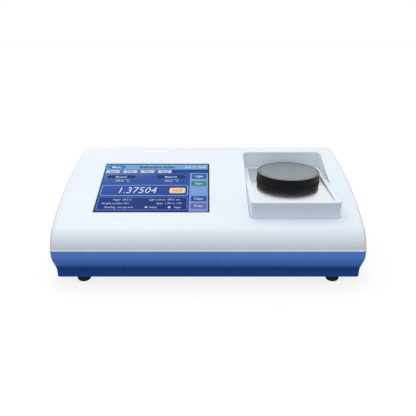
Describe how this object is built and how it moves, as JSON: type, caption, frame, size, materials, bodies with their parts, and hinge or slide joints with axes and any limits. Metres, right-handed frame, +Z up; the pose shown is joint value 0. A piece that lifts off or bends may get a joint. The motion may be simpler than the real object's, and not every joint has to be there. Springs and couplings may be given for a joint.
{
  "type": "abbe refractometer",
  "caption": "Bench refractometer: white cover with a sloping touch display, blue base on rubber feet, and a level steel sample tray under a round lift-off cap.",
  "frame": {"origin": "on the bench, under the middle of the housing", "axes": "+X to the right seen from the front, +Y to the back, +Z up"},
  "size_m": [0.442, 0.233, 0.138],
  "materials": {
    "cover_white": "satin moulded",
    "base_blue": "satin moulded",
    "foot_rubber": "matt",
    "screw_steel": "zinc plated",
    "display_glass": "polished",
    "black_foam": "foam",
    "sheet_steel": "plain sheet",
    "cable_white": "plain",
    "tray_white": "satin moulded",
    "polished_steel": "polished",
    "seal_black": "matt",
    "prism_glass": "polished",
    "plain_aluminium": "milled",
    "black_anodised": "black anodised",
    "board_green": "coated",
    "ceramic_white": "ceramic",
    "fan_black": "moulded",
    "winding_copper": "wound",
    "standoff_brass": "turned",
    "panel_aluminium": "satin anodised",
    "inlet_black": "moulded",
    "pin_metal": "plated",
    "rocker_black": "moulded",
    "cap_black": "anodised look"
  },
  "bodies": {
    "instrument": {"top_cover": "cover_white", "base_housing": "base_blue", "rubber_feet": "foot_rubber", "foot_screws": "screw_steel", "cover_screws": "screw_steel", "touch_glass": "display_glass", "display_gasket": "black_foam", "display_module": "sheet_steel", "display_bracket": "sheet_steel", "display_ribbon": "cable_white", "sample_tray": "tray_white", "tray_screws": "screw_steel", "sample_plate": "polished_steel", "prism_ring": "polished_steel", "prism_seal": "seal_black", "prism": "prism_glass", "prism_block": "plain_aluminium", "temperature_probe": "polished_steel", "lamp_tube": "black_anodised", "lamp_lens": "prism_glass", "lamp_board": "board_green", "camera_tube": "black_anodised", "camera_lens": "prism_glass", "sensor_board": "board_green", "thermoelectric_module": "ceramic_white", "heat_sink": "plain_aluminium", "fan_frame": "fan_black", "fan_stator": "winding_copper", "head_frame": "sheet_steel", "main_board": "board_green", "power_supply": "board_green", "board_standoffs": "standoff_brass", "rear_panel": "panel_aluminium", "power_inlet": "inlet_black", "inlet_pins": "pin_metal", "switch_frame": "inlet_black", "usb_ports": "pin_metal", "serial_port": "pin_metal"},
    "cap": {"cap": "cap_black", "cap_seal": "seal_black"},
    "rocker": {"switch_rocker": "rocker_black"},
    "fan": {"fan_rotor": "fan_black"}
  },
  "joints": [
    {"name": "lid_lift", "type": "slide", "parent": "instrument", "child": "cap", "axis": [0, 0, 1], "range_m": [0, 0.1]},
    {"name": "power_rocker", "type": "hinge", "parent": "instrument", "child": "rocker", "pos_m": [-0.066, 0.098, 0.0337], "axis": [0, 0, 1], "range_deg": [0, 16]},
    {"name": "fan_spin", "type": "hinge", "parent": "instrument", "child": "fan", "pos_m": [0.1239, 0.0261, 0.0357], "axis": [0, 0, 1], "continuous": true}
  ]
}
